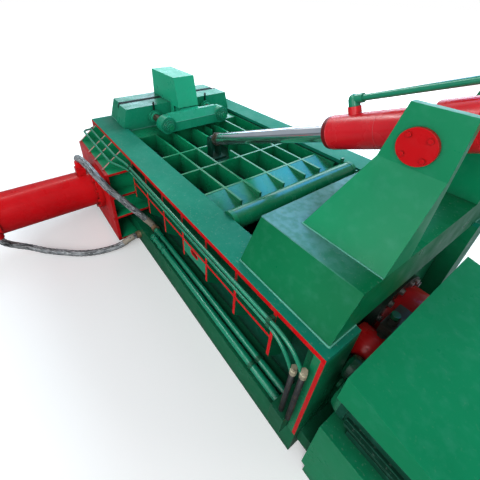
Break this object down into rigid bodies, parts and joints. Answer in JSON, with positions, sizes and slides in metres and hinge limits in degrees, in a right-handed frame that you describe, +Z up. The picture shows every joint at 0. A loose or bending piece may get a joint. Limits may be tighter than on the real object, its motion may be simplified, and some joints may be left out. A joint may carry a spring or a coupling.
{
  "type": "scrap metal baling press",
  "caption": "Horizontal hydraulic baler: ribbed swinging lid with a sliding lock, lid cylinder on trunnion stands, main ram, side ram, bale exit gate and power unit.",
  "frame": {"origin": "on the floor, under the middle of the press body and on the plane midway between its side walls; a base cross beam rests there", "axes": "+X along the press body towards the main cylinder, +Y away from the side cylinder, +Z up"},
  "size_m": [4.06, 2.558, 1.8203],
  "materials": {
    "green_paint": "gloss green machine paint with light wear",
    "bright_green_paint": "fresh gloss green paint",
    "dark_green_paint": "dull dark green paint",
    "red_paint": "gloss red machine paint",
    "dark_steel": "greasy bare dark steel",
    "plain_steel": "turned steel",
    "chrome_rod": "polished hard chrome",
    "hose_cover": "grey woven hose sleeve"
  },
  "bodies": {
    "frame": {"base_frame": "green_paint", "chamber_floor": "dark_green_paint", "near_side_wall": "dark_green_paint", "far_side_wall": "dark_green_paint", "near_rail": "green_paint", "far_rail": "green_paint", "near_rib_frame": "green_paint", "far_rib_frame": "green_paint", "side_panel": "bright_green_paint", "end_wall": "green_paint", "rear_wall": "green_paint", "lock_beam": "green_paint", "hinge_brackets": "green_paint", "hinge_shaft": "plain_steel", "ram_hood": "green_paint", "near_trunnion_stand": "green_paint", "far_trunnion_stand": "green_paint", "trunnion_caps": "red_paint", "cap_bolts": "plain_steel", "side_ram_box": "green_paint", "side_cylinder_barrel": "red_paint", "side_flange_bolts": "red_paint", "side_port_block": "red_paint", "main_cylinder_barrel": "red_paint", "main_flange_bolts": "plain_steel", "main_port_block": "dark_steel", "thin_pipes": "bright_green_paint", "thick_pipes": "bright_green_paint", "pipe_clamps": "dark_green_paint", "pipe_couplings": "bright_green_paint", "pipe_manifold": "dark_steel", "hose_upper": "hose_cover", "hose_lower": "hose_cover", "hose_fittings": "plain_steel", "gate_guides": "green_paint", "gate_cylinder_barrel": "red_paint", "power_unit_tank": "green_paint", "console_cover": "green_paint", "pump_motor": "dark_green_paint", "hydraulic_pump": "dark_steel"},
    "lid": {"lid_grid": "green_paint", "lid_skin": "dark_green_paint", "lid_lock_box": "green_paint", "lid_hinge_tube": "green_paint", "lid_clevis": "dark_steel", "lock_guides": "green_paint", "lock_guard": "green_paint", "lock_cylinder_barrel": "red_paint"},
    "lock": {"lock_yoke": "green_paint", "lock_rods": "dark_steel", "lock_nuts": "green_paint"},
    "lid_barrel": {"lid_cylinder_barrel": "red_paint", "lid_cylinder_gland": "dark_steel", "lid_cylinder_pipe": "bright_green_paint"},
    "lid_rod": {"lid_cylinder_rod": "chrome_rod", "rod_pin": "plain_steel"},
    "main_ram_body": {"main_ram": "dark_steel"},
    "side_ram_body": {"side_ram": "dark_steel"},
    "gate_body": {"exit_gate": "dark_green_paint"}
  },
  "joints": [
    {"name": "lid_hinge", "type": "hinge", "parent": "frame", "child": "lid", "pos_m": [0.55, 0, 0.81], "axis": [0, 1, 0], "range_deg": [0, 75]},
    {"name": "lid_cylinder_swing", "type": "hinge", "parent": "frame", "child": "lid_barrel", "pos_m": [1.20992, 0, 1.46497], "axis": [0, 1, 0], "range_deg": [0, 37.62]},
    {"name": "lid_rod_slide", "type": "slide", "parent": "lid_barrel", "child": "lid_rod", "axis": [0.9285, 0, 0.3714], "range_m": [0, 0.7969]},
    {"name": "lock_slide", "type": "slide", "parent": "lid", "child": "lock", "axis": [1, 0, 0], "range_m": [-0.12, 0]},
    {"name": "main_ram_slide", "type": "slide", "parent": "frame", "child": "main_ram_body", "axis": [-1, 0, 0], "range_m": [0, 1.12]},
    {"name": "side_ram_slide", "type": "slide", "parent": "frame", "child": "side_ram_body", "axis": [0, 1, 0], "range_m": [0, 0.64]},
    {"name": "exit_gate_slide", "type": "slide", "parent": "frame", "child": "gate_body", "axis": [1, 0, 0], "range_m": [0, 0.54]}
  ],
  "couplings": [
    {"joint": "lid_cylinder_swing", "follows": "lid_hinge", "ratio": 0.50023},
    {"joint": "lid_rod_slide", "follows": "lid_hinge", "m_per_rad": 0.608}
  ]
}
